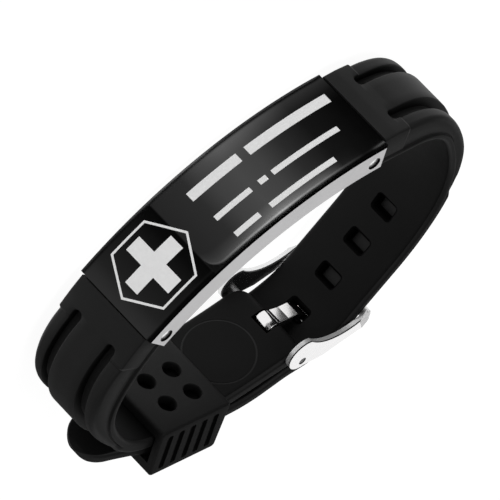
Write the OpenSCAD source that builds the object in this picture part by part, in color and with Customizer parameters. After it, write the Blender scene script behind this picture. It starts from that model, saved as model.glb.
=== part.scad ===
// Identification bracelet: an arched steel plate on a fastened silicone strap.
// The ring stands on its side: Z runs across the band, the plate faces -Y.
// Each path runs along the face that lies on the wrist, from the plate to the strap's end.

/* [Plate] */
// Length of the arched plate along its outer face
plate_len = 48.6; // [46:0.1:50]
// Overhang of the plate past each edge of the straps
plate_over = 0.5; // [0.4:0.05:0.8]
// Radius of the arched outer face
plate_r = 57.7;
// Depth of the plate's side from the outer face
plate_d = 5.2; // [5:0.1:5.4]
// Thickness of the dark cover at the plate's ends
cover_end = 0.8; // [0.6:0.1:1]
// Thickness of the dark cover at mid length
cover_mid = 0.9; // [0.8:0.05:1.1]
// Thickness of the steel web under the cover
web_t = 0.8; // [0.6:0.1:0.9]
// Thickness of each steel side wall
side_t = 1.2; // [1:0.1:1.3]
// Diameter of the pins that hold the straps
plate_pin_d = 2.1; // [1.8:0.1:2.2]
// Distance of each pin from the plate's end
plate_pin_in = 1.9; // [1.9:0.1:2.4]

/* [Straps] */
// Width of the straps
strap_w = 15; // [14.6:0.1:15.2]
// Thickness of the strap with the row of holes
hole_t = 2.2; // [2:0.1:2.3]
// Thickness of the strap with the buckle
tail_t = 2.4; // [2.2:0.1:2.5]
// Length of the plain block beside the plate
block_len = 5; // [4.6:0.1:5.4]
// Height that the side ribs lie below the middle rib
rib_drop = 0.5; // [0.3:0.1:0.7]
// Half width of the middle rib
rib_half = 3; // [2.8:0.1:3.2]
// Width of each groove between the ribs
groove_w = 1.8; // [1.4:0.1:2]
// Depth of each groove
groove_d = 1.9; // [1.6:0.1:2]
// Distance from the plate to the round start of each groove
groove_at = 4.3; // [4.2:0.1:4.6]
// Thickness of the wider band on the wrist
band_t = 1.4; // [1.2:0.1:1.5]
// Width of the step from that band to the side ribs
rib_step = 0.3; // [0.2:0.05:0.4]
// Number of adjustment holes
hole_n = 9; // [4:1:9]
// Spacing of the adjustment holes
hole_pitch = 7.2; // [6.4:0.1:8]
// Length of each adjustment hole along the strap
hole_len = 3; // [2.8:0.1:3.2]
// Width of each adjustment hole across the strap
hole_w = 4.1; // [3.8:0.1:4.4]
// Skin left at the bottom of an unused hole
hole_skin = 0.4; // [0.3:0.1:0.6]

// Radius of the strap's round tip
tip_r = 4.5; // [4:0.1:4.8]
// Length over which the strap tapers to its tip
tip_len = 11.6; // [11:0.1:13]
// Thickness of the strap's end round the spring bar
nose_t = 2.7; // [2.5:0.1:2.8]
// Radius of the two corners beside the spring bar
corner_r = 3; // [2.5:0.1:3.2]

/* [Buckle] */
// Diameter of the spring bar
bar_d = 1.3; // [1.2:0.1:1.4]
// Thickness of each buckle leg
leg_t = 0.9; // [0.8:0.05:0.95]
// Diameter of the crossbar
cross_d = 1.8; // [1.6:0.1:1.9]
// Width of the tang
tang_w = 2.7; // [2.4:0.1:2.8]
// Length of the tang's barrel on the spring bar
barrel_w = 3.2; // [3:0.1:3.6]
// Diameter of the tang's barrel
barrel_d = 2.9; // [2.7:0.1:3]
// Thickness of the tang
tang_t = 0.8; // [0.7:0.05:0.85]

/* [Keeper] */
// Half width of the keeper loop
keeper_half = 8.9; // [8.8:0.05:9.1]
// Thickness of the keeper's wall on the wrist side
keeper_in = 1.9; // [1.8:0.05:2]
// Thickness of the keeper's wall on the outer side
keeper_out = 1.9; // [1.7:0.05:2]
// Diameter of the round holes in the keeper
keeper_hole_d = 3; // [2.6:0.1:3.2]
// Depth of the slots in the keeper's sides
slot_d = 0.55; // [0.4:0.05:0.6]

/* [Hidden] */
$fn = 96;
// Clearance between fitted pieces
gap = 0.1;
// Distance from the plate to the hole that the tang fills, and that hole's number from 0
tang_at = 64.8;
hole_used = 3;
// Shift that sets the origin at the middle of the footprint, on the floor
shift = [0.04, -22.91, keeper_half];

// Paths: each row is a radius and a turn in degrees, or 0 and a straight length.
// Wrist face of the strap with holes, seen mirrored
hole_at = [21.2, 5.5, 27.5];
hole_path = [[0, 8.5], [10, 55], [34, 13.5], [17, 37], [34, 20], [0, 8], [18, 37],
             [0, 9], [20, 19], [0, 26.5]];
// Wrist face of the strap with the buckle, as far as the spring bar
tail_at = [21.2, 5, 31];
tail_path = [[42, 5], [30, 16], [11, 37.5], [21, 18.5], [12, 34], [40, 18], [110, 6.4], [110, 2.7]];
// Tops of the ribs, from the plate to where they fade out
hole_top_at = [23.65, 0.8, 22];
hole_top = [[148, 2.2], [13.2, 44.8], [27.4, 26.5], [21.2, 30], [22, 13]];
tail_top_at = [23.9, 0.55, 24];
tail_top = [[52, 7], [14.7, 60.2], [24, 24], [12, 20]];
// Largest turn and length of one flat facet of the straps
facet_turn = 4.5;
facet_len = 1.6;

plate_w = strap_w + 2 * plate_over;
plate_half = plate_len / plate_r * 90 / PI;
plate_cy = plate_r * cos(plate_half);
cover_r = let (h = plate_r * sin(plate_half),
               s = plate_r - plate_cy - (cover_mid - cover_end)) (h * h + s * s) / (2 * s);
pin_turn = plate_half - plate_pin_in / plate_r * 180 / PI;
pin_r = plate_r - 3.35;

// Length of a row, and the place [x, y, heading] after a row
function row_len(s) = s[0] == 0 ? s[1] : s[0] * s[1] * PI / 180;
function after(p, s) = s[0] == 0
    ? [p[0] + s[1] * cos(p[2]), p[1] + s[1] * sin(p[2]), p[2]]
    : [p[0] + s[0] * (sin(p[2] + s[1]) - sin(p[2])),
       p[1] - s[0] * (cos(p[2] + s[1]) - cos(p[2])), p[2] + s[1]];
function share(s, f) = [s[0], s[1] * f];
function rows(path, a, b) = [for (i = [a : b]) path[i]];
function path_len(path, i = 0) = i == len(path) ? 0 : row_len(path[i]) + path_len(path, i + 1);
// Place at a distance along a path, and what is left of the path from there
function along(p, path, d, i = 0) =
    d <= row_len(path[i]) || i == len(path) - 1
    ? after(p, share(path[i], d / row_len(path[i])))
    : along(after(p, path[i]), path, d - row_len(path[i]), i + 1);
function beyond(path, d, i = 0) = d <= row_len(path[i])
    ? concat([share(path[i], 1 - d / row_len(path[i]))], rows(path, i + 1, len(path) - 1))
    : beyond(path, d - row_len(path[i]), i + 1);
// Points along a path, at a distance from it on the side away from the wrist
function aside(q, d) = [q[0] + d * sin(q[2]), q[1] - d * cos(q[2])];
function facets(s) = s[0] == 0 ? 1 : ceil(max(s[1] / facet_turn, row_len(s) / facet_len));
function line_at(p, path, d, i = 0) = i == len(path) ? [aside(p, d)] :
    concat([for (k = [0 : facets(path[i]) - 1]) aside(after(p, share(path[i], k / facets(path[i]))), d)],
           line_at(after(p, path[i]), path, d, i + 1));
function back(l) = [for (i = [len(l) - 1 : -1 : 0]) l[i]];

// Slab between two heights in z, with a flat outline
module slab(z0, z1, outline) {
    translate([0, 0, z0]) linear_extrude(z1 - z0) polygon(outline);
}

// Outline between distances d0 and d1 from a path
function band(p, path, d0, d1) = concat(line_at(p, path, d0), back(line_at(p, path, d1)));

// Puts children at a distance along a path; x points away from the wrist, y along the strap
module put(p, path, d) {
    q = along(p, path, d);
    translate([q[0], q[1], 0]) rotate(q[2] - 90) children();
}

// Ring sector about the plate's centre of curvature, from turn a to turn b off the middle
module plate_sector(r0, r1, a, b, h) {
    translate([0, plate_cy, 0]) rotate(a - 90)
    rotate_extrude(angle = b - a) translate([r0, -h / 2]) square([r1 - r0, h]);
}

module at_pin(side) {
    translate([0, plate_cy, 0]) rotate(side * pin_turn) translate([0, -pin_r, 0]) children();
}

module cover_disc(grow) {
    translate([0, plate_cy + cover_end_y(), 0]) cylinder(r = cover_r + grow, h = plate_w + 2, center = true);
}
function cover_end_y() = cover_r - (plate_r - cover_mid);

module plate_cover() {
    color("black") translate(shift) difference() {
        plate_sector(plate_r - plate_d, plate_r, -plate_half, plate_half, plate_w);
        cover_disc(0);
    }
}

module plate_body() {
    color("silver") translate(shift) difference() {
        intersection() {
            plate_sector(plate_r - plate_d, plate_r, -plate_half, plate_half, plate_w);
            cover_disc(-0.02);
        }
        plate_sector(plate_r - plate_d - 1, plate_r - cover_mid - web_t, -plate_half - 1,
                     plate_half + 1, plate_w - 2 * side_t);
        for (s = [-1, 1]) at_pin(s) cylinder(d = plate_pin_d + 2 * gap, h = plate_w + 2, center = true);
    }
}

module plate_pin(side) {
    color("gainsboro") translate(shift) at_pin(side)
        cylinder(d = plate_pin_d, h = plate_w - 0.7, center = true);
}

// Tongue of a strap inside the plate's channel
module tongue() {
    difference() {
        plate_sector(plate_r - plate_d - 0.4, plate_r - cover_mid - web_t - 0.15,
                     plate_half - 5.6, plate_half + 1.2, plate_w - 2 * side_t - 0.3);
        at_pin(1) cylinder(d = plate_pin_d + gap, h = plate_w, center = true);
    }
}

// Raised part of a strap: a plain block at the plate, then three ribs and two grooves
module raised(p, path, base_p, base, t) {
    difference() {
        slab(-strap_w / 2, strap_w / 2, concat(line_at(p, path, 0), back(line_at(base_p, base, t / 2))));
        for (m = [0, 1]) mirror([0, 0, m]) {
            slab(rib_half + groove_w / 2, strap_w,
                 band(along(p, path, block_len), beyond(path, block_len), -rib_drop, 4));
            slab(strap_w / 2 - rib_step, strap_w,
                 band(along(p, path, block_len), beyond(path, block_len), -groove_d - 1, 4));
            slab(rib_half, rib_half + groove_w,
                 band(along(p, path, groove_at), beyond(path, groove_at), -groove_d, 4));
            put(p, path, groove_at) translate([-groove_d, 0, rib_half + groove_w / 2])
                rotate([0, 90, 0]) cylinder(d = groove_w - 0.04, h = 6);
        }
    }
}

// Step along both edges beside the ribs, down to the thin band on the wrist
module edge_steps(p, path, a, b) {
    rest = beyond(path, a);
    for (m = [0, 1]) mirror([0, 0, m])
        slab(strap_w / 2 - rib_step, strap_w, band(along(p, path, a), rows(rest, 0, b), band_t, 8));
}

module plate_space() {
    plate_sector(plate_r - 9, plate_r + 4, -plate_half - 0.15, plate_half + 0.15, plate_w + 4);
}

// Outline of the tapered tip, x across the strap and y along it
tip_rest = tip_len - tip_r;
tip_turn = atan2(strap_w / 2, tip_rest) - asin(tip_r / norm([strap_w / 2, tip_rest]));
tip_side = [for (a = [tip_turn : (90 - tip_turn) / 6 : 90.1]) [tip_r * cos(a), tip_rest + tip_r * sin(a)]];
tip_start = [strap_w / 2 + tan(tip_turn), -1];
tip_outline = concat([[tip_start[0], -2], tip_start], tip_side,
                     [for (p = back(rows(tip_side, 0, 5))) [-p[0], p[1]]],
                     [[-tip_start[0], -1], [-tip_start[0], -2]]);

module hole_strap() {
    total = path_len(hole_path);
    color([0.12, 0.12, 0.12]) translate(shift) mirror([1, 0, 0]) difference() {
        union() {
            difference() {
                union() {
                    slab(-strap_w / 2, strap_w / 2, band(hole_at, hole_path, 0, hole_t));
                    raised(hole_top_at, hole_top, hole_at, rows(hole_path, 0, 3), hole_t);
                }
                plate_space();
                edge_steps(hole_at, hole_path, 4.5, 2);
            }
            tongue();
        }
        for (i = [0 : hole_n - 1])
            put(hole_at, hole_path, tang_at + hole_pitch * (i - hole_used))
            translate([-1, -hole_len / 2, -hole_w / 2]) cube([hole_t + 1 - hole_skin, hole_len, hole_w]);
        put(hole_at, hole_path, tang_at) translate([0, -1.35, -tang_w / 2 - 0.25])
            cube([hole_t + 2, 2.05, tang_w + 0.5]);
        put(hole_at, hole_path, total - tip_len) rotate([0, 90, 0]) difference() {
            translate([-strap_w, -1, -8]) cube([2 * strap_w, tip_len + 3, 16]);
            translate([0, 0, -9]) linear_extrude(18) polygon(tip_outline);
        }
    }
}

// Nose of the strap round the spring bar
tail_len = path_len(tail_path);
module at_bar() {
    put(tail_at, tail_path, tail_len) translate([nose_t / 2, 0, 0]) children();
}
function nose(q) = [for (a = [-75 : 15 : 75])
    let (c = aside(q, nose_t / 2)) [c[0] + nose_t / 2 * cos(q[2] + a), c[1] + nose_t / 2 * sin(q[2] + a)]];

module buckle_strap() {
    n = len(tail_path);
    bar = along(tail_at, tail_path, tail_len);
    color([0.12, 0.12, 0.12]) translate(shift) difference() {
        union() {
            difference() {
                union() {
                    slab(-strap_w / 2, strap_w / 2, concat(
                        line_at(tail_at, tail_path, 0), back(nose(bar)), [aside(bar, nose_t)],
                        back(line_at(tail_at, rows(tail_path, 0, n - 2), tail_t))));
                    raised(tail_top_at, tail_top, tail_at, rows(tail_path, 0, 3), tail_t);
                }
                plate_space();
                edge_steps(tail_at, tail_path, 4.5, 3);
            }
            tongue();
        }
        at_bar() cylinder(d = bar_d + gap, h = strap_w + 4, center = true);
        at_bar() translate([-6, -1.65, -barrel_w / 2 - 0.3]) cube([12, 8, barrel_w + 0.6]);
        at_bar() for (m = [0, 1]) mirror([0, 0, m])
            translate([0, nose_t / 2 - corner_r, strap_w / 2 - corner_r]) rotate([0, 90, 0]) difference() {
                translate([-8, 0, -6]) cube([8, 8, 12]);
                cylinder(r = corner_r, h = 14, center = true);
            }
        put(tail_at, tail_path, 53.5) translate([-0.12, 0, 0]) rotate([0, 90, 0]) difference() {
            cylinder(r = 6, h = 0.27);
            translate([0, 0, -1]) cylinder(r = 5.7, h = 3);
        }
    }
}

// Keeper: u runs along the strap, v away from the wrist
module at_keeper() {
    translate([26.5, 30, 0]) rotate(149) mirror([0, 1, 0]) children();
}
keeper_outline = [[0.1, 0.5], [0.6, 0], [14.4, 0], [14.9, 0.5], [15.3, 9.5], [14.8, 10], [1.8, 10], [1.3, 9.5]];
keeper_hole_at = [for (u = [5.3, 10.7], z = [-0.8, 4.2]) [u, z]];
module keeper() {
    color([0.12, 0.12, 0.12]) translate(shift) at_keeper() difference() {
        slab(-keeper_half, keeper_half, keeper_outline);
        slab(-strap_w / 2 - 0.2, strap_w / 2 + 0.2, [
            [-3, keeper_in - 0.1], [6, keeper_in + 0.1], [18, keeper_in - 1.1],
            [18, 10 - keeper_out], [-3, 10 - keeper_out]]);
        for (h = keeper_hole_at)
            translate([h[0], 4, h[1]]) rotate([90, 0, 0]) cylinder(d = keeper_hole_d, h = 6);
        for (i = [0 : 4], m = [0, 1]) mirror([0, 0, m])
            slab(keeper_half - slot_d, keeper_half + 1, [for (c = [[0, 1.4], [1.15, 1.4], [1.9, 8.8], [0.75, 8.8]])
                [c[0] + 1.9 + 2.45 * i, c[1]]]);
    }
}

// Buckle frame: two legs on the spring bar and a crossbar outside the strap with holes
leg_in = strap_w / 2 + 0.2;
cross_at = [-13.4, 49.1];
bar_xy = aside(along(tail_at, tail_path, tail_len), nose_t / 2);
// Outline of a leg, and of the whole frame seen along Y with its two bent corners
module leg_outline() {
    difference() {
        union() {
            translate([bar_xy[0] - 0.5, bar_xy[1] - 1.4]) circle(2.9);
            translate(cross_at) circle(1.15);
            polygon([[bar_xy[0] + 0.9, bar_xy[1] + 1], [-3.5, 47.3], [-10.9, 48.9], [-13.2, 50.23],
                     [-14.5, 48.7], [-13.5, 45.5], [-3.2, 41.2]]);
        }
        translate([-12, 36.5]) circle(10.3);
    }
}
frame_half = leg_in + leg_t;
bend = 1.5;
frame_outline = [for (z = [1, -1], p = z > 0 ? [[5, 0], [-11.4, 0], [-15, bend]] : [[-15, bend], [-11.4, 0], [5, 0]])
    [p[0], z * (frame_half - p[1])]];
module buckle_frame() {
    color("silver") translate(shift) difference() {
        intersection() {
            union() {
                for (z = [leg_in, -leg_in - leg_t]) translate([0, 0, z]) linear_extrude(leg_t) leg_outline();
                translate([cross_at[0], cross_at[1], 0])
                    cylinder(d = cross_d, h = 2 * leg_in + leg_t, center = true);
            }
            translate([0, 60, 0]) rotate([90, 0, 0]) linear_extrude(30) polygon(frame_outline);
        }
        translate([bar_xy[0], bar_xy[1], 0]) cylinder(d = bar_d + gap, h = 40, center = true);
    }
}

module spring_bar() {
    color("silver") translate(shift) at_bar()
        cylinder(d = bar_d, h = 2 * (leg_in + leg_t) - 0.6, center = true);
}

// Tang: a barrel on the spring bar and a flat pin that passes out through a hole to the crossbar
module buckle_tang() {
    b = bar_xy;
    y0 = cross_at[1] + cross_d / 2 + 0.06;
    color("gainsboro") translate(shift) difference() {
        union() {
            translate([b[0], b[1], 0]) cylinder(d = barrel_d, h = barrel_w, center = true);
            linear_extrude(tang_w, center = true) polygon([
                [b[0] + 0.5, b[1] + 1.1], [b[0] - 0.6, b[1] - 1.05], [-3.3, 44.8], [-5, 45.8],
                [-5.9, 47.3], [-6.7, 49.6], [-7.1, y0], [-14.8, y0], [-14.9, y0 + 0.5],
                [-14.4, y0 + tang_t], [-6.5, y0 + tang_t], [-5.7, y0 + 0.4], [-5, 47.8],
                [-4.4, 46.7], [-2.9, 45.9]]);
        }
        translate([b[0], b[1], 0]) cylinder(d = bar_d + gap, h = 10, center = true);
    }
}

plate_body();
plate_cover();
plate_pin(-1);  // plate_pin_hole_side
plate_pin(1);  // plate_pin_buckle_side
hole_strap();
buckle_strap();
keeper();
buckle_frame();
buckle_tang();
spring_bar();
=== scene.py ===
import math
from collections import namedtuple

import bmesh
import bpy
import numpy as np
from mathutils import Matrix, Vector


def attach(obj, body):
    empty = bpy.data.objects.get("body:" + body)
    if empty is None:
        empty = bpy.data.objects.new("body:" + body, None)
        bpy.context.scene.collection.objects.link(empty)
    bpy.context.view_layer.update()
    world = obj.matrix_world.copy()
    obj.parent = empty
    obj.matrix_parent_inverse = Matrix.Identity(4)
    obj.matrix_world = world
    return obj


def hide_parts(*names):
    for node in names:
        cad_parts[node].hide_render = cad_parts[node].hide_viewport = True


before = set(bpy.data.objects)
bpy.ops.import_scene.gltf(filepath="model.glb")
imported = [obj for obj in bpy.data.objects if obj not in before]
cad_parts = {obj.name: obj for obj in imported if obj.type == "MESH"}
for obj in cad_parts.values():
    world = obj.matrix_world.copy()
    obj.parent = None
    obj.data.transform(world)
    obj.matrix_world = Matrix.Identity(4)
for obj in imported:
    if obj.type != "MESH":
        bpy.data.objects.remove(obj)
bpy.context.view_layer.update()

# Sizes of the source, in mm and degrees
MM = 0.001
SHIFT = np.array([0.04, -22.91, 8.9])      # place of the plan; the height is half of the keeper's width
PLATE_R, PLATE_D, PLATE_HALF = 57.7, 5.2, 24.13
PLATE_CY = PLATE_R * math.cos(math.radians(PLATE_HALF))
PIN_IN, PIN_DEPTH = 1.9, 3.35
HALF_W, BLOCK, BAND_T = 7.5, 5.0, 1.4
RIB_HALF, RIB_STEP, RIB_DROP = 3.0, 0.3, 0.5
GROOVE_W, GROOVE_D, GROOVE_AT = 1.8, 1.9, 4.3
NOSE_T, CORNER_R = 2.7, 3.0
TIP_R, TIP_LEN = 4.5, 11.6
TANG_AT, PITCH = 64.8, 7.2

# A path is a start (x, y, heading) and rows of (radius, turn) or (0, straight length). A strap's rows run
# along its wrist face and its top rows along its ribs. The lift is how far the outer face stands off the
# solid's, as (distance along the strap, mm). The strap with holes is laid out mirrored.
Strap = namedtuple("Strap", "at rows top_at top_rows lift thickness mirrored")
HOLE = Strap(
    at=(21.2, 5.5, 27.5),
    rows=[(0, 8.5), (10, 55), (34, 13.5), (17, 37), (34, 20), (0, 8), (18, 37),
          (0, 9), (20, 19), (0, 14.5), (-38, -18.09)],
    top_at=(23.65, 0.8, 22),
    top_rows=[(148, 2.2), (13.2, 44.8), (27.4, 26.5), (21.2, 30), (22, 13)],
    lift=[(0, 1.0), (2, 1.0), (5, 0.65), (8, 0.5), (12, 0.4), (18, 0.42), (24, 0.55), (27, 0.5),
          (30, 0.4), (32, 0.0), (34, -0.6), (36.5, -0.9)],
    thickness=2.2,
    mirrored=True)
TAIL = Strap(
    at=(21.2, 5.0, 31),
    rows=[(42, 5), (30, 16), (11, 37.5), (21, 18.5), (12, 34), (40, 18), (110, 9.1)],
    top_at=(23.9, 0.55, 24),
    top_rows=[(52, 7), (14.7, 60.2), (24, 24), (12, 20)],
    lift=[(0, 0.8), (2, 0.65), (4.5, 0.3), (7, 0.45), (10, 0.42), (14, 0.32), (20, 0.2),
          (27, 0.05), (30, 0)],
    thickness=2.4,
    mirrored=False)


# Paths
def directions(heading):
    """Unit vectors in the plan, along a heading in degrees and outward, to the right of it."""
    a = math.radians(heading)
    return np.array([math.cos(a), math.sin(a)]), np.array([math.sin(a), -math.cos(a)])


def row_length(row):
    radius, turn = row
    return turn if radius == 0 else radius * math.radians(turn)


def length(rows):
    return sum(row_length(row) for row in rows)


def after(at, row, share=1.0):
    """Place and heading after a share of one row."""
    x, y, heading = at
    radius, turn = row[0], row[1] * share
    a = math.radians(heading)
    if radius == 0:
        return (x + turn * math.cos(a), y + turn * math.sin(a), heading)
    b = math.radians(heading + turn)
    return (x + radius * (math.sin(b) - math.sin(a)),
            y - radius * (math.cos(b) - math.cos(a)), heading + turn)


def along(at, rows, distance):
    """Place and heading at a distance along a path."""
    for i, row in enumerate(rows):
        n = row_length(row)
        if distance <= n or i == len(rows) - 1:
            return after(at, row, distance / n)
        at, distance = after(at, row), distance - n


def smooth(a, b, x):
    """Smooth step from 0 at a to 1 at b."""
    t = min(1.0, max(0.0, (x - a) / (b - a)))
    return t * t * (3 - 2 * t)


def drawn_in(s):
    """How far the strap with holes is drawn towards the wrist before and after the buckle, mm."""
    before = 0.9 * smooth(14, 34, s) * (1 - smooth(57, 64, s))
    behind = 0.65 * smooth(68, 74, s) * (1 - smooth(84, 91, s))
    return before + behind


def strap_at(strap, s):
    """Place and heading on the wrist face of a strap."""
    x, y, heading = along(strap.at, strap.rows, s)
    if strap is HOLE:
        x, y = (x, y) - drawn_in(s) * directions(heading)[1]
    return x, y, heading


def plan_frame(x, y, heading):
    """Function that takes a point (forward, outward, z) at a place and heading to plan coordinates."""
    forward, outward = directions(heading)

    def place(u, v, z):
        p = (x, y) + forward * u + outward * v
        return (p[0], p[1], z)
    return place


def plate_point(radius, angle, z):
    """Plan coordinates of a point at a radius and an angle in radians of the plate's arch."""
    return (radius * math.sin(angle), PLATE_CY - radius * math.cos(angle), z)


def to_model(points, mirrored=False):
    """Plan coordinates in mm to the model's place in metres."""
    points = np.array(points, float)
    if mirrored:
        points[..., 0] *= -1
    return (points + SHIFT) * MM


BAR_END = along(TAIL.at, TAIL.rows, length(TAIL.rows))
BAR_HEADING = BAR_END[2]
BAR = np.array(BAR_END[:2]) + directions(BAR_HEADING)[1] * NOSE_T / 2      # axis of the spring bar
PIN_TURN = math.radians(PLATE_HALF) - PIN_IN / PLATE_R
PINS = [plate_point(PLATE_R - PIN_DEPTH, side * PIN_TURN, 0) for side in (-1, 1)]


# Mesh helpers
def link(name, me):
    ob = bpy.data.objects.new(name, me)
    bpy.context.scene.collection.objects.link(ob)
    return ob


def shade(ob, angle):
    """Smooth shading with the edges above an angle left sharp."""
    for face in ob.data.polygons:
        face.use_smooth = True
    ob.data.set_sharp_from_angle(angle=math.radians(angle))


def new_mesh(name, verts, faces, smooth_angle):
    me = bpy.data.meshes.new(name)
    me.from_pydata([tuple(v) for v in verts], [], [tuple(f) for f in faces])
    me.validate()
    bm = bmesh.new()
    bm.from_mesh(me)
    bmesh.ops.recalc_face_normals(bm, faces=bm.faces)
    bm.to_mesh(me)
    bm.free()
    ob = link(name, me)
    if smooth_angle:
        shade(ob, smooth_angle)
    return ob


def apply_modifiers(ob):
    bpy.context.view_layer.update()
    deps = bpy.context.evaluated_depsgraph_get()
    me = bpy.data.meshes.new_from_object(ob.evaluated_get(deps))
    old = ob.data
    ob.modifiers.clear()
    ob.data = me
    me.name = ob.name
    bpy.data.meshes.remove(old)


def cut(ob, cutters):
    """Cuts the cutters out of ob and deletes them."""
    for cutter in cutters:
        m = ob.modifiers.new("cut", "BOOLEAN")
        m.operation, m.object, m.solver = "DIFFERENCE", cutter, "EXACT"
        m.material_mode = "TRANSFER"
    apply_modifiers(ob)
    for cutter in cutters:
        bpy.data.objects.remove(cutter)


def join(name, obs, mats=()):
    """One object from several, which it takes the place of."""
    bm = bmesh.new()
    for ob in obs:
        bm.from_mesh(ob.data)
    me = bpy.data.meshes.new(name)
    bm.to_mesh(me)
    bm.free()
    for mat in mats:
        me.materials.append(mat)
    for ob in obs:
        bpy.data.objects.remove(ob)
    return link(name, me)


def circle(radius, n):
    """Points of a circle, from angle 0."""
    return [(radius * math.cos(a), radius * math.sin(a))
            for a in np.linspace(0, 2 * math.pi, n, endpoint=False)]


def prism(name, outline, z0, z1, place):
    """Closed prism over an outline; place takes its points to plan coordinates."""
    n = len(outline)
    points = [place(u, v, z) for z in (z0, z1) for u, v in outline]
    faces = [tuple(range(n - 1, -1, -1)), tuple(range(n, 2 * n))]
    faces += [(i, (i + 1) % n, n + (i + 1) % n, n + i) for i in range(n)]
    return new_mesh(name, to_model(points), faces, 0)


def loft(name, rings, mirrored=False, angle=0):
    """Closed skin over rings of equal length, with both ends capped by fans."""
    rings = np.array(rings)
    m, n = rings.shape[:2]
    verts = list(to_model(rings.reshape(-1, 3), mirrored))
    faces = []
    for i in range(m - 1):
        for j in range(n):
            k = (j + 1) % n
            faces.append((i * n + j, i * n + k, (i + 1) * n + k, (i + 1) * n + j))
    for i in (0, m - 1):
        verts.append(np.mean(verts[i * n:(i + 1) * n], axis=0))
        faces += [(i * n + j, i * n + (j + 1) % n, len(verts) - 1) for j in range(n)]
    return new_mesh(name, verts, faces, angle)


# Node helpers; those that make a value return its output
def new_material(name):
    mat = bpy.data.materials.new(name)
    mat.use_nodes = True
    return mat, mat.node_tree, mat.node_tree.nodes["Principled BSDF"]


def noise(nt, scale, detail, rough, stretch=(1, 1, 1)):
    coords = nt.nodes.new("ShaderNodeTexCoord")
    mapping = nt.nodes.new("ShaderNodeMapping")
    mapping.inputs["Scale"].default_value = stretch
    n = nt.nodes.new("ShaderNodeTexNoise")
    n.inputs["Scale"].default_value = scale
    n.inputs["Detail"].default_value = detail
    n.inputs["Roughness"].default_value = rough
    nt.links.new(coords.outputs["Object"], mapping.inputs["Vector"])
    nt.links.new(mapping.outputs["Vector"], n.inputs["Vector"])
    return n.outputs["Fac"]


def ramp(nt, value, stops):
    """Colours between stops of (position, colour)."""
    r = nt.nodes.new("ShaderNodeValToRGB")
    elements = r.color_ramp.elements
    for element, (position, colour) in zip(elements, (stops[0], stops[-1])):
        element.position, element.color = position, (*colour, 1)
    for position, colour in stops[1:-1]:
        elements.new(position).color = (*colour, 1)
    nt.links.new(value, r.inputs["Fac"])
    return r.outputs["Color"]


def to_range(nt, value, low, high, start=0.0, end=1.0):
    """Takes a value from start to end over to low to high, and holds it there beyond."""
    m = nt.nodes.new("ShaderNodeMapRange")
    for socket, number in (("From Min", start), ("From Max", end), ("To Min", low), ("To Max", high)):
        m.inputs[socket].default_value = number
    nt.links.new(value, m.inputs["Value"])
    return m.outputs["Result"]


def math_node(nt, kind, *values):
    m = nt.nodes.new("ShaderNodeMath")
    m.operation = kind
    for socket, value in zip(m.inputs, values):
        if isinstance(value, (int, float)):
            socket.default_value = value
        else:
            nt.links.new(value, socket)
    return m.outputs["Value"]


def z_of(nt, output):
    """Z of the object's coordinates or of its normal."""
    coords = nt.nodes.new("ShaderNodeTexCoord")
    xyz = nt.nodes.new("ShaderNodeSeparateXYZ")
    nt.links.new(coords.outputs[output], xyz.inputs["Vector"])
    return xyz.outputs["Z"]


def from_axis(nt, centre):
    """Distance of the shaded point from a line along Z through a place in the plan, in metres."""
    x, y, _ = to_model((centre[0], centre[1], 0))
    coords = nt.nodes.new("ShaderNodeTexCoord")
    flat = nt.nodes.new("ShaderNodeVectorMath")
    flat.operation = "MULTIPLY"
    flat.inputs[1].default_value = (1, 1, 0)
    gap = nt.nodes.new("ShaderNodeVectorMath")
    gap.operation = "DISTANCE"
    gap.inputs[1].default_value = (x, y, 0)
    nt.links.new(coords.outputs["Object"], flat.inputs[0])
    nt.links.new(flat.outputs["Vector"], gap.inputs[0])
    return gap.outputs["Value"]


def mottle(nt, shader, value, colours, rough):
    """Colour between stops and roughness between two limits, both led by one value."""
    nt.links.new(ramp(nt, value, colours), shader.inputs["Base Color"])
    nt.links.new(to_range(nt, value, *rough), shader.inputs["Roughness"])


def bump(nt, shader, value, strength, distance):
    b = nt.nodes.new("ShaderNodeBump")
    b.inputs["Strength"].default_value = strength
    b.inputs["Distance"].default_value = distance
    nt.links.new(value, b.inputs["Height"])
    nt.links.new(b.outputs["Normal"], shader.inputs["Normal"])


def blend_base(nt, shader, amount, grey):
    """Blends the base colour towards a grey by an amount."""
    mix = nt.nodes.new("ShaderNodeMixRGB")
    mix.inputs["Color2"].default_value = (grey, grey, grey, 1)
    nt.links.new(amount, mix.inputs["Fac"])
    nt.links.new(shader.inputs["Base Color"].links[0].from_socket, mix.inputs["Color1"])
    nt.links.new(mix.outputs["Color"], shader.inputs["Base Color"])


# Materials
def silicone(name, tone, gloss):
    """Soft black rubber with painted shade on the sides towards +Z: a darker base colour and less gloss there
    than on the outer and the wrist face.
    """
    mat, nt, shader = new_material(name)
    dark, light = 0.0105 * tone, 0.014 * tone
    colour = ramp(nt, noise(nt, 90, 3, 0.5), [(0.3, (dark,) * 3), (0.7, (light,) * 3)])
    # Painted shade: faces turned towards +Z get down to half the base colour (the dull node) and less gloss.
    side = to_range(nt, z_of(nt, "Normal"), 1.0, 0.15, 0.5, 1.0)
    dull = nt.nodes.new("ShaderNodeVectorMath")
    dull.operation = "SCALE"
    nt.links.new(colour, dull.inputs["Vector"])
    nt.links.new(to_range(nt, side, 0.5, 1.0), dull.inputs["Scale"])
    nt.links.new(dull.outputs["Vector"], shader.inputs["Base Color"])
    nt.links.new(math_node(nt, "MULTIPLY", side, gloss), shader.inputs["Specular IOR Level"])
    fine = noise(nt, 2600, 5, 0.65)
    nt.links.new(to_range(nt, fine, 0.46, 0.6), shader.inputs["Roughness"])
    bump(nt, shader, fine, 0.1, 0.00003)
    return mat


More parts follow.
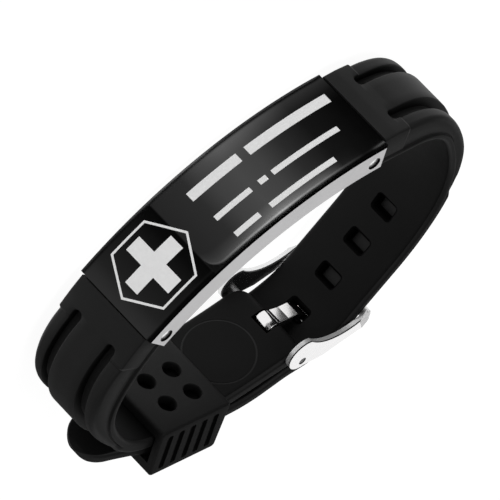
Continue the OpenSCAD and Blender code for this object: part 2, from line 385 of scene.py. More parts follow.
def black_plate():
    """Polished black, but with a dull coat on the side towards +Z."""
    mat, nt, shader = new_material("plate_black_polish")
    mottle(nt, shader, noise(nt, 700, 4, 0.6), [(0.3, (0.0012,) * 3), (0.7, (0.002,) * 3)], (0.018, 0.03))
    gloss = to_range(nt, z_of(nt, "Normal"), 0.5, 0.0, 0.08, 0.25)
    nt.links.new(gloss, shader.inputs["Specular IOR Level"])
    return mat


def white_mark():
    mat, nt, shader = new_material("mark_white")
    mottle(nt, shader, noise(nt, 1500, 4, 0.6), [(0.3, (0.95,) * 3), (0.7, (1.0,) * 3)], (0.5, 0.65))
    return mat


def steel(name, dark, light, rough, streak, metal=1.0):
    """Steel whose grain is as fine along X, Y and Z as streak says."""
    mat, nt, shader = new_material(name)
    shader.inputs["Metallic"].default_value = metal
    grain = noise(nt, 1, 6, 0.7, streak)
    mottle(nt, shader, grain, [(0.25, dark), (0.75, light)], rough)
    bump(nt, shader, grain, 0.15, 0.00002)
    return mat


def paint_shade_on_walls(mat, bands):
    """Paints shade on the faces across Z in bands of (measure, low mm, high mm) by blending their base colour
    to dark; nodes make the measure.
    """
    nt = mat.node_tree
    painted_shade_mask = 0.0
    for measure, low, high in bands:
        value = measure(nt)
        inside = math_node(nt, "MULTIPLY", math_node(nt, "GREATER_THAN", value, low * MM),
                           math_node(nt, "LESS_THAN", value, high * MM))
        painted_shade_mask = math_node(nt, "MAXIMUM", painted_shade_mask, inside)
    wall = math_node(nt, "LESS_THAN", math_node(nt, "ABSOLUTE", z_of(nt, "Normal")), 0.3)
    blend_base(nt, nt.nodes["Principled BSDF"], math_node(nt, "MULTIPLY", painted_shade_mask, wall), 0.01)


def paint_reflection_on_walls(mat, metal):
    """Painted reflection on the faces across Z: makes them lighter and less metallic, so that they also show
    the light of the room.
    """
    nt = mat.node_tree
    shader = nt.nodes["Principled BSDF"]
    wall = to_range(nt, math_node(nt, "ABSOLUTE", z_of(nt, "Normal")), 1.0, 0.0, 0.5, 0.8)
    nt.links.new(to_range(nt, wall, 1.0, metal), shader.inputs["Metallic"])
    blend_base(nt, shader, wall, 0.97)


SILICONE = silicone("silicone_black", 1.0, 0.24)
# Painted shade: a much darker copy of the rubber for the walls of the holes and of the notch, where shade
# falls.
SHADED = silicone("silicone_painted_shade", 0.15, 0.03)
# Painted shade: a darker copy of the rubber for the wrist faces, which lie inside the loop.
WRIST = silicone("silicone_wrist_painted_shade", 0.42, 0.1)
# Painted shade: the keeper gets a slightly darker copy of the rubber.
KEEPER = silicone("silicone_keeper_painted_shade", 0.85, 0.14)
RUBBER = (SILICONE, SHADED, WRIST)
PLATE = black_plate()
MARK = white_mark()
BRUSHED = steel("steel_brushed", (0.47, 0.465, 0.47), (0.6, 0.595, 0.6), (0.3, 0.42), (60, 60, 6000))
POLISHED = steel("steel_polished", (0.75, 0.745, 0.745), (0.8, 0.795, 0.795), (0.14, 0.22), (900, 900, 900))
TANG = steel("steel_tang", (0.9, 0.89, 0.89), (0.95, 0.94, 0.94), (0.1, 0.16), (900, 900, 900))
TURNED = steel("steel_pin", (0.9, 0.9, 0.9), (0.97, 0.97, 0.97), (0.15, 0.25), (2500, 2500, 500), 0.8)

# Painted shade as dark lines, in mm: the walls of the pin holes, the seam beside the tang's barrel, an edge
# of each buckle leg
PIN_WALL, SEAM, LEG_EDGES, EDGE_W = 1.3, (1.48, 1.8), (0.95, 17.28), 0.3
paint_shade_on_walls(BRUSHED, [(lambda nt, pin=pin: from_axis(nt, pin), 0, PIN_WALL) for pin in PINS])
paint_shade_on_walls(TANG, [(lambda nt: from_axis(nt, BAR), *SEAM)])
# Painted reflection: the walls of the buckle frame are lightened towards white.
paint_reflection_on_walls(POLISHED, 0.5)
paint_shade_on_walls(POLISHED, [(lambda nt: z_of(nt, "Object"), z, z + EDGE_W) for z in LEG_EDGES])

# Strap sections, in mm
RIB_REACH = 46                             # the ribs end before this distance from the plate
WRIST_ROUND, BAND_SHARE, CREASE = 0.75, 0.55, 0.16
EDGE_BLOCK, EDGE_BESIDE, EDGE_BEND, EDGE_PLAIN = 0.4, 0.4, 0.5, 0.35
NO_GROOVE, GROOVE_WIDEN, LIP, FLOOR_ROUND = 0.05, 0.3, 0.22, 0.15
WRIST_FACES = 8                            # faces of half a section that belong to the wrist face
LEAN, END_GAP = 1.6, 0.15                  # where the sections stop leaning, and the gap to the plate
END_N = directions(PLATE_HALF)[0]          # across the plate's end plane
NOSE_GROWTH = (7, 1)                       # the nose thickens between these distances before the bar
TIP_ROUND, TIP_BLEND = 0.9, 0.8
TIP_REST = TIP_LEN - TIP_R
TIP_TURN = math.atan2(HALF_W, TIP_REST) - math.asin(TIP_R / math.hypot(HALF_W, TIP_REST))


def rib_heights(strap):
    """Distances along the wrist face, and how high the ribs stand above it there."""
    distances = np.arange(0, min(length(strap.rows), RIB_REACH), 0.1)
    base = np.array([along(strap.at, strap.rows, s) for s in distances])
    found = []
    for d in np.arange(0, length(strap.top_rows), 0.25):
        x, y, _ = along(strap.top_at, strap.top_rows, d)
        i = int(np.argmin((base[:, 0] - x) ** 2 + (base[:, 1] - y) ** 2))
        found.append((distances[i], ((x, y) - base[i, :2]) @ directions(base[i, 2])[1]))
    found = np.array(sorted(found))
    return found[:, 0], found[:, 1]


def wrist_points():
    """Half of the wrist face, and its rounded edge."""
    face = [(0, z) for z in (0, 1.2, 2.4, 3.6, 4.8, 5.8, 6.4)]
    edge = [(WRIST_ROUND * (1 - math.cos(a)), HALF_W - WRIST_ROUND * (1 - math.sin(a)))
            for a in np.radians(range(0, 91, 18))]
    return face + edge


def side_points(s, band, ribs, side_z):
    """Side of the band next to the wrist, the crease above it, and the foot of the rib's side."""
    crease = CREASE * ribs * smooth(0.2, 1.0, s)
    return [(band - 0.22, HALF_W), (band - 0.08, HALF_W - 0.05 * ribs), (band, side_z - crease * 0.6),
            (band + 0.08, side_z - crease), (band + 0.2, side_z - crease * 0.4), (band + 0.32, side_z)]


def groove_points(s, t, top, side_top, edge_z):
    """Top of the side rib from its rounded edge at edge_z, the groove, and half of the middle rib."""
    inside = s - (GROOVE_AT - GROOVE_W / 2)
    widen = GROOVE_WIDEN * smooth(7, 20, s)
    mid = RIB_HALF + GROOVE_W / 2 + widen
    half, depth = NO_GROOVE, 0.0
    if inside > 0:
        half, depth = GROOVE_W / 2 + widen, 1.0
        if inside < GROOVE_W / 2:
            half = math.sqrt(max(half ** 2 - (half - inside) ** 2, NO_GROOVE ** 2))
    ground = top - min(GROOVE_D, max(top - t, 0)) * depth
    floor = min(side_top, ground)
    lip = min(LIP, 0.4 * half)
    drop = LIP * depth * min(1.0, max(top - t, 0) / 0.6)
    outer, inner = mid + half, mid - half
    outer_foot = FLOOR_ROUND if side_top - floor > 0.5 else 0
    inner_foot = FLOOR_ROUND if top - floor > 0.5 else 0
    return [(side_top, (edge_z + outer) / 2), (side_top, outer + lip),
            (side_top - drop * 0.3, outer + lip * 0.35), (max(side_top - drop, ground), outer),
            (floor + outer_foot, outer - lip * 0.1), (floor, outer - lip),
            (floor, mid),
            (floor, inner + lip), (floor + inner_foot, inner + lip * 0.1),
            (max(top - drop, floor), inner), (top - drop * 0.3, inner - lip * 0.35),
            (top, inner - lip), (top, 1.4), (top, 0)]


def section(s, t, top, width, draw):
    """Section of a strap at distance s, as (distance from the wrist face, z).

    t is the plain thickness, top the height of the middle rib and width half of the width. Both faces are
    drawn in by draw.
    """
    ribs = smooth(t + 0.05, t + 0.5, top)                     # 1 where there are ribs, 0 on the plain strap
    beside = smooth(BLOCK - 0.25, BLOCK + 0.25, s) * ribs     # 1 past the block next to the plate
    bend = beside * smooth(5, 20, s)                          # grows from 0 past the block to 1 on the bend
    side_z = HALF_W - RIB_STEP * (0.5 + 0.5 * beside) * ribs
    side_top = max(top - RIB_DROP * (0.6 * beside + 0.4 * bend), t)
    band = min(BAND_T, t * BAND_SHARE)
    edge = EDGE_BLOCK + EDGE_BESIDE * beside + EDGE_BEND * ribs * bend + EDGE_PLAIN * (1 - ribs)
    edge = min(edge, (side_top - band) * 0.75)
    half = wrist_points() + side_points(s, band, ribs, side_z)
    half += [(side_top - edge * (1 - math.sin(a)), side_z - edge * (1 - math.cos(a)))
             for a in np.radians(range(0, 91, 15))]
    half += groove_points(s, t, top, side_top, side_z - edge)
    half = np.array(half)
    half[:, 0] = draw + half[:, 0] * (top - 2 * draw) / top
    half[:, 1] *= width / HALF_W
    return np.vstack([half, (half * [1, -1])[-2:0:-1]])


def ring_at(strap, s, points):
    """Section points at distance s in plan coordinates; near the plate they lean into its end plane."""
    x, y, heading = strap_at(strap, s)
    forward, _ = directions(heading)
    place, start = plan_frame(x, y, heading), plan_frame(*strap.at)
    ring = []
    for d, z in points:
        lean = 0
        if s < LEAN:
            gap = END_GAP - (np.array(start(0, d, z)[:2]) - (0, PLATE_CY)) @ END_N
            lean = gap / (forward @ END_N) * (1 - s / LEAN)
        ring.append(place(lean, d, z))
    return ring


# Straps
def round_off(radius, left):
    """How far an end rounded with a radius draws in where left is the distance that is left to the end."""
    return radius - math.sqrt(max(radius ** 2 - max(radius - left, 0) ** 2, 0))


def tip_width(y):
    """Half width of the tapered tip at distance y from where the taper starts."""
    if y <= TIP_REST + TIP_R * math.sin(TIP_TURN):
        line = HALF_W - math.tan(TIP_TURN) * y
        near = max(TIP_BLEND - abs(HALF_W - line), 0) / TIP_BLEND
        return min(HALF_W, line) - near ** 2 * TIP_BLEND / 4
    return math.sqrt(max(TIP_R ** 2 - (y - TIP_REST) ** 2, 0))


def strap_end(strap):
    """Distance at which a strap ends, and the radius of its end."""
    total = length(strap.rows)
    return (total, TIP_R) if strap is HOLE else (total + NOSE_T / 2, CORNER_R)


def stations(strap):
    """Distances of the sections, which are close at the end of the block and round the strap's end."""
    end, radius = strap_end(strap)
    turns = np.radians(np.linspace(0, 89, 30))
    spans = [np.arange(0, 3.2, 0.4), np.arange(3.2, 6.4, 0.1), np.arange(6.4, 40, 0.45),
             np.arange(40, end - radius, 0.6), end - radius + radius * np.sin(turns)]
    return sorted(set(round(s, 4) for s in np.concatenate(spans)))


def sizes_at(strap, s, heights):
    """Plain thickness, height of the ribs, half width and how far both faces draw in, at distance s."""
    end, radius = strap_end(strap)
    t, top = strap.thickness, strap.thickness
    if s < heights[0][-1]:
        lift = np.interp(s, *zip(*strap.lift)) + (drawn_in(s) if strap is HOLE else 0)
        top = np.interp(s, *heights) + lift
    if strap is HOLE:
        width, draw = tip_width(s - (end - TIP_LEN)), round_off(TIP_ROUND, end - s)
    else:
        grow_from, grow_to = (length(strap.rows) - d for d in NOSE_GROWTH)
        t += (NOSE_T - t) * smooth(grow_from, grow_to, s)
        width, draw = HALF_W - round_off(radius, end - s), round_off(NOSE_T / 2, end - s)
    return t, max(top, t), width, draw


def strap_skin(name, strap):
    """Skin of a strap without its holes, with painted shade on the wrist face, which gets its own darker copy
    of the rubber.
    """
    heights = rib_heights(strap)
    rings = [ring_at(strap, s, section(s, *sizes_at(strap, s, heights))) for s in stations(strap)]
    ob = loft(name, rings, strap.mirrored, 35)
    for mat in RUBBER:
        ob.data.materials.append(mat)
    n = len(rings[0])
    for face in ob.data.polygons[:n * (len(rings) - 1)]:
        step = face.index % n
        if step < WRIST_FACES or step > n - WRIST_FACES - 2:
            face.material_index = RUBBER.index(WRIST)
    return ob


TONGUE_OVER, TONGUE_UNDER, TONGUE_HALF, TONGUE_BEVEL = 0.4, 1.85, 6.65, 0.3
TONGUE_TURNS = (-5.6, 1.1)                 # from and to, in degrees past the plate's end


def tongue(strap):
    """End of a strap inside the plate."""
    inner, outer = PLATE_R - PLATE_D - TONGUE_OVER, PLATE_R - TONGUE_UNDER
    w, c = TONGUE_HALF, TONGUE_BEVEL
    outline = [(inner + c, -w), (outer - c, -w), (outer, -w + c), (outer, w - c),
               (outer - c, w), (inner + c, w), (inner, w - c), (inner, -w + c)]
    turns = np.radians(np.linspace(*(PLATE_HALF + turn for turn in TONGUE_TURNS), 9))
    return loft("tongue", [[plate_point(r, a, z) for r, z in outline] for a in turns], strap.mirrored, 35)


# Levels of a hole are (depth from the wrist face, how much the box grows). A box is (middle, half length,
# half width, corner radius).
POCKET = [(-0.6, 0.2), (0.0, 0.18), (0.3, -0.16), (0.6, -0.22), (1.65, -0.22), (1.8, -0.3), (1.8, -0.5)]
POCKET_BOX = (0, 1.4, 2.05, 0.55)
SLOT = [(1.5, 0), (2.0, 0), (2.2, 0.12), (2.8, 0.48)]
SLOT_BOX = (-0.37, 0.65, 1.38, 0.12)
POCKET_BACK = 0.35                         # the pockets before the tang's lie this much nearer to the plate


def hole_cutter(s, levels, box):
    """Cutter with rounded corners for a hole in the strap with holes; its walls get painted shade, a much
    darker copy of the rubber.
    """
    place = plan_frame(*strap_at(HOLE, s))
    mid, half_u, half_z, corner = box
    rings = []
    for depth, grow in levels:
        a, b, r = half_u + grow, half_z + grow, corner + grow
        rings.append([place(mid + sx * (a - r) + r * math.cos(k), depth, sz * (b - r) + r * math.sin(k))
                      for sx, sz, turn in ((1, 1, 0), (-1, 1, 90), (-1, -1, 180), (1, -1, 270))
                      for k in np.radians(np.linspace(turn, turn + 90, 6))])
    ob = loft("cutter", rings, HOLE.mirrored)
    for face in ob.data.polygons[:-len(rings[0])]:
        face.material_index = RUBBER.index(SHADED)
    return ob


def hole_strap():
    """Strap with blind pockets and one slot through it, which the tang passes."""
    skin = strap_skin("hole_strap_skin", HOLE)
    places = [TANG_AT + PITCH * i - (POCKET_BACK if i < 0 else 0) for i in range(-3, 6)]
    cut(skin, [join("cutters", [hole_cutter(s, POCKET, POCKET_BOX) for s in places], RUBBER)])
    cut(skin, [join("cutters", [hole_cutter(TANG_AT, SLOT, SLOT_BOX)], RUBBER)])
    ob = join("hole_strap_silicone", [skin, tongue(HOLE)], RUBBER)
    shade(ob, 40)
    return ob


RING_AT, RING_R, RING_W, RING_D = 53.5, 6.0, 0.3, 0.07
NOTCH, NOTCH_HALF = [(-1.65, -6), (-1.65, 6), (6, 6), (6, -6)], 1.9


def ring_cutter(n=64):
    """Cutter for the shallow round groove in the wrist face of the strap with the buckle."""
    points = []
    for r, d in ((RING_R - RING_W, -0.5), (RING_R - RING_W, RING_D), (RING_R, RING_D), (RING_R, -0.5)):
        points += [plan_frame(*strap_at(TAIL, RING_AT + u))(0, d, z) for u, z in circle(r, n)]
    faces = [(i * n + j, i * n + (j + 1) % n, (i + 1) % 4 * n + (j + 1) % n, (i + 1) % 4 * n + j)
             for i in range(4) for j in range(n)]
    return new_mesh("cutter", to_model(points), faces, 0)


def buckle_strap():
    """Strap with a notch in its nose for the tang's barrel."""
    skin = strap_skin("buckle_strap_skin", TAIL)
    block = prism("notch", NOTCH, -NOTCH_HALF, NOTCH_HALF, plan_frame(*BAR, BAR_HEADING))
    notch = join("notch", [block], RUBBER)
    # The notch's walls get the painted shade.
    for face in notch.data.polygons:
        face.material_index = RUBBER.index(SHADED)
    cut(skin, [notch, ring_cutter()])
    ob = join("buckle_strap_silicone", [skin, tongue(TAIL)], RUBBER)
    shade(ob, 40)
    return ob


# Keeper: outlines in a plan frame on its wrist face, along it and outward
at_keeper = plan_frame(26.5, 30, 149)
KEEPER_OUT = [(0.1, 0), (14.9, 0), (15.35, 10.4), (1.3, 10.4)]
KEEPER_IN = [(-3, 1.8), (6, 2.0), (18, 0.8), (18, 8.1), (-3, 8.1)]
KEEPER_HALF, KEEPER_EDGE, KEEPER_CORNER, CAVITY_HALF = 8.9, 0.4, 0.7, 7.7
KEEPER_HOLES, KEEPER_HOLE_R = [(u, z) for u in (5.3, 10.7) for z in (-0.8, 4.2)], 1.5
KEEPER_SLOT = [(1.9, 1.4), (3.05, 1.4), (3.8, 9.2), (2.65, 9.2)]
SLOT_COUNT, SLOT_PITCH, SLOT_ROUND, SLOT_D = 5, 2.45, 0.45, 0.55


def rounded(outline, r, n=4):
    """Outline with its corners rounded by about r."""
    out = []
    for i in range(len(outline)):
        a, b, c = (np.array(outline[j % len(outline)], float) for j in (i - 1, i, i + 1))
        p = b + (a - b) / np.linalg.norm(a - b) * r
        q = b + (c - b) / np.linalg.norm(c - b) * r
        out += [tuple((1 - f) ** 2 * p + 2 * f * (1 - f) * b + f * f * q) for f in np.linspace(0, 1, n + 1)]
    return out


def inset(outline, d):
    """Convex outline moved inward by d."""
    points = [np.array(p, float) for p in outline]
    middle, out = np.mean(points, axis=0), []
    for i in range(len(points)):
        sides = []
        for p, q in ((points[i - 1], points[i]), (points[i], points[(i + 1) % len(points)])):
            n = np.array([-(q - p)[1], (q - p)[0]]) / np.linalg.norm(q - p)
            n = n if n @ (middle - p) > 0 else -n
            sides.append((n, n @ p + d))
        out.append(tuple(np.linalg.solve([sides[0][0], sides[1][0]], [sides[0][1], sides[1][1]])))
    return out


def keeper_skin():
    """Block of the keeper with rounded edges."""
    rings = []
    for side, turns in ((-1, (0, 90)), (1, (90, 0))):
        for q in np.radians(np.linspace(*turns, 6)):
            e = KEEPER_EDGE * (1 - math.sin(q))
            z = side * (KEEPER_HALF - KEEPER_EDGE * (1 - math.cos(q)))
            outline = rounded(inset(KEEPER_OUT, e), KEEPER_CORNER - 0.5 * e)
            rings.append([at_keeper(u, v, z) for u, v in outline])
    return loft("keeper_silicone", rings)


def keeper_hole(u, z, depth=4):
    """Cutter for a round hole with a softened rim."""
    levels = ((-0.5, 0.3), (0, 0.12), (0.12, 0.02), (0.3, 0), (depth, 0))
    return loft("cutter", [[at_keeper(u + x, v, z + y) for x, y in circle(KEEPER_HOLE_R + grow, 48)]
                           for v, grow in levels])


def keeper_slot(i, side):
    """Cutter for a slot in one side of the keeper."""
    line = rounded([(u + SLOT_PITCH * i, v) for u, v in KEEPER_SLOT], SLOT_ROUND)
    z0, z1 = sorted((side * (KEEPER_HALF - SLOT_D), side * 10))
    return prism("slot", line, z0, z1, at_keeper)


def keeper_loop():
    ob = keeper_skin()
    cut(ob, [prism("cavity", KEEPER_IN, -CAVITY_HALF, CAVITY_HALF, at_keeper)])
    cut(ob, [join("cutters", [keeper_hole(u, z) for u, z in KEEPER_HOLES])])
    cut(ob, [join("cutters", [keeper_slot(i, side) for i in range(SLOT_COUNT) for side in (1, -1)])])
    shade(ob, 40)
    return ob


# Marks on the plate, in mm along it from its middle and above its middle line
MARK_UP, MARK_DEPTH, MARK_EDGE = 0.03, 0.05, 0.8
PLUS_AT, RING_OUTER, RING_INNER = 15.72, 7.15, 6.72
PLUS_ARM, PLUS_REACH = 1.4, 4.9
# Plain bars in three rows: height, thickness, and from where to where each bar runs
BAR_ROWS = [(-3.85, 1.7, [(4.9, -4.8), (-6.4, -22.4)]),
            (1.45, 0.95, [(4.3, -2.7), (-4.3, -5.8), (-6.9, -19.9)]),
            (5.5, 0.95, [(3.8, -1.0), (-3.1, -15.8)])]


def on_plate(x, z, up):
    """Point over the plate's face at arc length x from its middle."""
    return plate_point(PLATE_R + up, x / PLATE_R, z)


def both_levels(points):
    """Points on top of a mark, then the same points sunk into the plate."""
    return [on_plate(x, z, up) for up in (MARK_UP, -MARK_DEPTH) for x, z in points]


def filled_mark(name, loop):
    """Thin raised mark over a loop, in triangles short enough to follow the plate's arch."""
    bm = bmesh.new()
    face = bm.faces.new([bm.verts.new((x, z, 0)) for x, z in loop])
    face.normal_update()
    bmesh.ops.triangulate(bm, faces=[face])
    for _ in range(4):
        long = [e for e in bm.edges if e.calc_length() > MARK_EDGE]
        if long:
            bmesh.ops.subdivide_edges(bm, edges=long, cuts=1)
            bmesh.ops.triangulate(bm, faces=[f for f in bm.faces if len(f.verts) > 3])
    bm.verts.index_update()
    flat = [(v.co.x, v.co.y) for v in bm.verts]
    top = [[v.index for v in f.verts] for f in bm.faces]
    border = [[v.index for v in e.verts] for e in bm.edges if len(e.link_faces) == 1]
    bm.free()
    n = len(flat)
    faces = top + [[i + n for i in reversed(f)] for f in top] + [(a, b, b + n, a + n) for a, b in border]
    return new_mesh(name, to_model(both_levels(flat)), faces, 30)


def band_mark(name, outer, inner):
    """Thin raised band between two loops of equal length."""
    n = len(outer)
    faces = []
    for i in range(n):
        k = (i + 1) % n
        faces += [(i, k, 2 * n + k, 2 * n + i), (n + i, n + k, k, i),
                  (2 * n + i, 2 * n + k, 3 * n + k, 3 * n + i), (3 * n + i, 3 * n + k, n + k, n + i)]
    return new_mesh(name, to_model(both_levels(outer) + both_levels(inner)), faces, 30)


def hexagon(r, n=8):
    """Loop round a regular hexagon with a corner towards the plate's end, n steps a side."""
    corners = [(r * math.cos(k * math.pi / 3), r * math.sin(k * math.pi / 3)) for k in range(7)]
    return [(PLUS_AT + p[0] + (q[0] - p[0]) * i / n, p[1] + (q[1] - p[1]) * i / n)
            for p, q in zip(corners, corners[1:]) for i in range(n)]


def plus_mark():
    a, b = PLUS_ARM, PLUS_REACH
    arm = [(a, a), (a, b), (-a, b)]
    loop = []
    for _ in range(4):
        loop += arm
        arm = [(-z, x) for x, z in arm]
    return filled_mark("plate_plus_mark", [(PLUS_AT + x, z) for x, z in loop])


def bar_mark(x0, x1, z, thick):
    xs = np.linspace(x0, x1, max(2, round(abs(x1 - x0) / MARK_EDGE)) + 1)
    lower, upper = [(x, z - thick / 2) for x in xs], [(x, z + thick / 2) for x in xs]
    return filled_mark("bar", lower + upper[::-1])


def bar_marks():
    bars = [bar_mark(x0, x1, z, thick) for z, thick, row in BAR_ROWS for x0, x1 in row]
    ob = join("plate_line_marks", bars)
    shade(ob, 30)
    return ob


# Pieces of the scene, and the dress of the nodes that stay
def dress(ob, mat):
    ob.data.materials.clear()
    ob.data.materials.append(mat)


def bevelled(ob, width):
    """Rounds the sharp edges of a CAD node by modifiers."""
    weld = ob.modifiers.new("weld", "WELD")
    weld.merge_threshold = 0.002 * MM
    m = ob.modifiers.new("bevel", "BEVEL")
    m.width, m.segments, m.limit_method, m.angle_limit = width * MM, 2, "ANGLE", math.radians(50)
    m.harden_normals, m.use_clamp_overlap = True, False


def add_piece(ob, mat=None):
    """Names what a piece rides on, and dresses it if it has one material."""
    if mat:
        dress(ob, mat)
    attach(ob, "root")
    return ob


long_strap = add_piece(hole_strap())
short_strap = add_piece(buckle_strap())
keeper = add_piece(keeper_loop(), KEEPER)
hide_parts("hole_strap")
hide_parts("buckle_strap")
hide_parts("keeper")
hexagon_mark = band_mark("plate_ring_mark", hexagon(RING_OUTER), hexagon(RING_INNER))
for piece in (hexagon_mark, plus_mark(), bar_marks()):
    add_piece(piece, MARK)

for name, mat in (("plate_body", BRUSHED), ("plate_cover", PLATE), ("plate_pin_hole_side", TURNED),
                  ("plate_pin_buckle_side", TURNED), ("buckle_frame", POLISHED), ("buckle_tang", TANG),
                  ("spring_bar", TURNED)):
    dress(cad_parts[name], mat)
bevelled(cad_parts["buckle_tang"], 0.12)

# Floor and lights, in metres
scene = bpy.context.scene
FLOOR_HALF = 3.0


def build_floor():
    """Pale floor that glows a little and isn't mirrored in the object."""
    me = bpy.data.meshes.new("floor")
    corners = [(x * FLOOR_HALF, y * FLOOR_HALF, 0) for x, y in ((-1, -1), (1, -1), (1, 1), (-1, 1))]
    me.from_pydata(corners, [], [(0, 1, 2, 3)])
    floor = link("floor", me)
    mat, _, shader = new_material("floor_white")
    for socket, value in (("Base Color", (0.15, 0.15, 0.15, 1)), ("Roughness", 0.9),
                          ("Specular IOR Level", 0.1), ("Emission Color", (1, 1, 1, 1)),
                          ("Emission Strength", 0.95)):
        shader.inputs[socket].default_value = value
    floor.data.materials.append(mat)
    floor.visible_glossy = False


def build_world():
    world = bpy.data.worlds.new("studio")
    world.use_nodes = True
    background = world.node_tree.nodes["Background"]
    background.inputs["Color"].default_value = (1, 1, 1, 1)
    background.inputs["Strength"].default_value = 0.12
    scene.world = world


def softbox(name, place, width, depth, radiance):
    """Oblong light of even radiance, aimed at the origin."""
    light = bpy.data.lights.new(name, "AREA")
    light.shape, light.size, light.size_y = "RECTANGLE", width, depth
    light.energy = radiance * math.pi * width * depth
    ob = link(name, light)
    ob.location = place
    ob.rotation_euler = (-Vector(place)).to_track_quat("-Z", "Y").to_euler()


build_floor()
build_world()
softbox("top_softbox", (0.0, -0.1, 1.3), 3.0, 3.0, 0.35)
softbox("key_softbox", (-0.25, -0.5, 1.15), 0.5, 0.5, 4.0)
softbox("back_softbox", (-0.4, 2.4, 0.95), 3.6, 1.3, 1.0)

# Directions of the camera, and its place at the photo's distance from the bracelet
CAMERA_AWAY = 1.2
VIEW = Vector((0.18777, -0.90596, 0.37946))      # from the bracelet towards the camera
IMAGE_RIGHT = Vector((-0.75754, 0.11233, 0.64305))
IMAGE_UP = Vector((-0.62520, -0.40820, -0.66521))
CAMERA_AT = Vector(SHIFT * MM) + VIEW * CAMERA_AWAY

# Glowing cards
EVEN = [(0, 1), (1, 1)]


def glow(name, terms, strength):
    """Glow whose brightness is a sum of products of steps along u and along v, each term with its scale."""
    mat = bpy.data.materials.new(name)
    mat.use_nodes = True
    nt = mat.node_tree
    nt.nodes.clear()
    out = nt.nodes.new("ShaderNodeOutputMaterial")
    emission = nt.nodes.new("ShaderNodeEmission")
    coords = nt.nodes.new("ShaderNodeTexCoord")
    xyz = nt.nodes.new("ShaderNodeSeparateXYZ")
    nt.links.new(coords.outputs["UV"], xyz.inputs["Vector"])
    total = 0.0
    for scale, u_stops, v_stops in terms:
        along_u, along_v = (ramp(nt, xyz.outputs[axis], [(at, (grey,) * 3) for at, grey in stops])
                            for axis, stops in (("X", u_stops), ("Y", v_stops)))
        product = math_node(nt, "MULTIPLY", along_u, along_v)
        total = math_node(nt, "ADD", total, math_node(nt, "MULTIPLY", product, scale * strength))
    nt.links.new(total, emission.inputs["Strength"])
    nt.links.new(emission.outputs["Emission"], out.inputs["Surface"])
    mat.cycles.emission_sampling = "NONE"
    return mat


def card(name, us, vs, place, terms, strength=1):
    """Glowing card that only gloss sees, over a grid; place takes (u, v) to a point in metres."""
    n = len(vs)
    grid = [(u, v) for u in us for v in vs]
    cells = [(i * n + j, i * n + j + 1, (i + 1) * n + j + 1, (i + 1) * n + j)
             for i in range(len(us) - 1) for j in range(n - 1)]
    me = bpy.data.meshes.new(name)
    me.from_pydata([place(u, v) for u, v in grid], [], cells)
    uv = me.uv_layers.new(name="UVMap")
    for loop in me.loops:
        uv.data[loop.index].uv = grid[loop.vertex_index]
    me.materials.append(glow(name, terms, strength))
    ob = link(name, me)
    ob.visible_camera = ob.visible_diffuse = ob.visible_shadow = ob.visible_transmission = False


# The plate's card covers this much on either side of the plate's middle, in mm, and stands off it in metres
REACH_X, REACH_Z, CARD_AWAY = 30, 8, 0.12
BRIGHT_X0, BRIGHT_X1, BRIGHT_R, BRIGHT_TOP = 7.2, 9.9, 2.5, 7.5


def mirrored_place(u, v):
    """Where the view of the plate, u along it and v across it, is reflected to."""
    x = REACH_X * (1 - 2 * u)
    z = REACH_Z * (2 * v - 1)
    if BRIGHT_X0 < x < BRIGHT_X1 and z > 0:      # rounded corner of the bright part
        past = max(x - (BRIGHT_X1 - BRIGHT_R), 0)
        z *= (BRIGHT_TOP - BRIGHT_R + math.sqrt(BRIGHT_R ** 2 - past ** 2)) / BRIGHT_TOP
    p = Vector(to_model(on_plate(x, z, 0)))
    n = Vector((math.sin(x / PLATE_R), -math.cos(x / PLATE_R), 0))
    d = (CAMERA_AT - p).normalized()
    return p + (2 * d.dot(n) * n - d) * CARD_AWAY


def along_plate(*stops):
    return [((REACH_X - x) / (2 * REACH_X), grey) for x, grey in stops]


def across_plate(*stops):
    return [((z + REACH_Z) / (2 * REACH_Z), grey) for z, grey in stops]


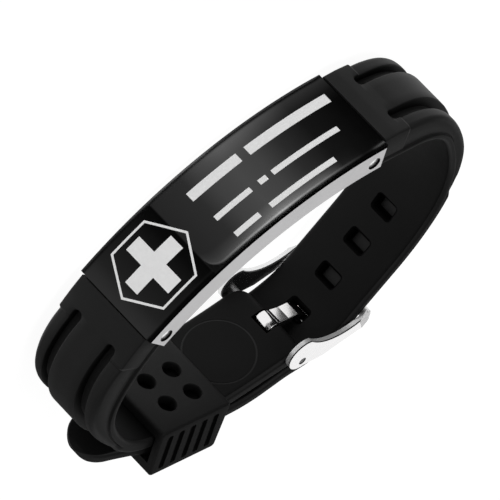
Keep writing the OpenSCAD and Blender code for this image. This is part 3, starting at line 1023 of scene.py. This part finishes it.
# Glow in the plate: the whole face, more towards its two long edges, and a thin line along each of them
PLATE_GLOW = [
    (1.0,
     along_plate((30, 0.6), (24, 0.43), (21, 0.22), (17, 0.13), (14, 0.1), (12, 0.04), (9.95, 0.015),
                 (9.85, 0.28), (4, 0.4), (1, 0.78), (-3, 1.0), (-7, 0.8), (-11, 0.36), (-16, 0.1),
                 (-24, 0.01)),
     across_plate((-7.4, 0), (-7.3, 1), (7.3, 1), (7.5, 0))),
    (0.85,
     along_plate((4, 0), (0, 0.27), (-4, 1), (-12, 0.9), (-16, 0.46), (-23, 0.4)),
     across_plate((-7.4, 0), (-7.2, 1), (-6.4, 0.65), (-5, 0.2), (-3, 0))),
    (2.0,
     along_plate((9.9, 0), (9.8, 0.2), (4, 0.38), (0, 0.58), (-4, 1), (-8, 0.7), (-12, 0.65), (-16, 0.05),
                 (-20, 0)),
     across_plate((4.8, 0), (6.2, 0.5), (6.9, 1), (7.3, 1), (7.4, 0))),
    (7.3,
     along_plate((10, 0.01), (9.8, 0.1), (8, 0.2), (4, 0.53), (0, 0.74), (-4, 1), (-8, 0.53), (-12, 0.37),
                 (-16, 0.12), (-20, 0.01), (-21.5, 0.02), (-23, 0.16), (-24, 0.2)),
     across_plate((7.15, 0), (7.28, 1), (7.46, 1), (7.52, 0))),
    (3.6,
     along_plate((30, 0.19), (16, 0.22), (12, 0.42), (8, 0.7), (0, 1), (-4, 0.36), (-24, 0.3)),
     across_plate((-7.98, 0), (-7.92, 1), (-7.78, 1), (-7.7, 0)))]


def round_place(u, v, az=(-155, -265), el=(-50, -5), r=0.7):
    """Point of a round wall below the floor's level, by azimuth and elevation."""
    a, e = math.radians(az[0] + (az[1] - az[0]) * u), math.radians(el[0] + (el[1] - el[0]) * v)
    return Vector((r * math.cos(a) * math.cos(e), r * math.sin(a) * math.cos(e), r * math.sin(e)))


def level_place(x0, y0, z, width, depth):
    """Function that takes (u, v) to a point of a level oblong, from its corner."""
    return lambda u, v: Vector((x0 + width * u, y0 + depth * v, z))


def steps(n):
    return [i / n for i in range(n + 1)]


corner_steps = [(REACH_X - x) / (2 * REACH_X) for x in (9.9, 9.7, 9.4, 9.1, 8.6, 8.1, 7.6)]
card("plate_card", sorted(set(steps(60) + corner_steps)), steps(16), mirrored_place, PLATE_GLOW, 1.5)
card("low_card", steps(24), steps(4), round_place, [(0.9, EVEN, EVEN)])
card("inside_card", [0, 1], [0, 1], level_place(-0.036, -0.024, -0.0005, 0.072, 0.05), [(0.95, EVEN, EVEN)])
card("under_card", [0, 1], [0, 1], level_place(-0.5, -0.5, -0.6, 1, 1), [(0.8, EVEN, EVEN)])

# Camera
camera = bpy.data.cameras.new("photo_view")
camera.lens, camera.sensor_width, camera.sensor_fit = 576.7, 36, "AUTO"
camera.shift_x, camera.shift_y = 0.0305, -0.0846
camera.clip_start, camera.clip_end = 0.05, 20
viewer = link("photo_view", camera)
facing = Matrix((IMAGE_RIGHT, IMAGE_UP, VIEW)).transposed().to_4x4()
viewer.matrix_world = Matrix.Translation(CAMERA_AT) @ facing
scene.camera = viewer
scene.view_settings.view_transform = "Standard"
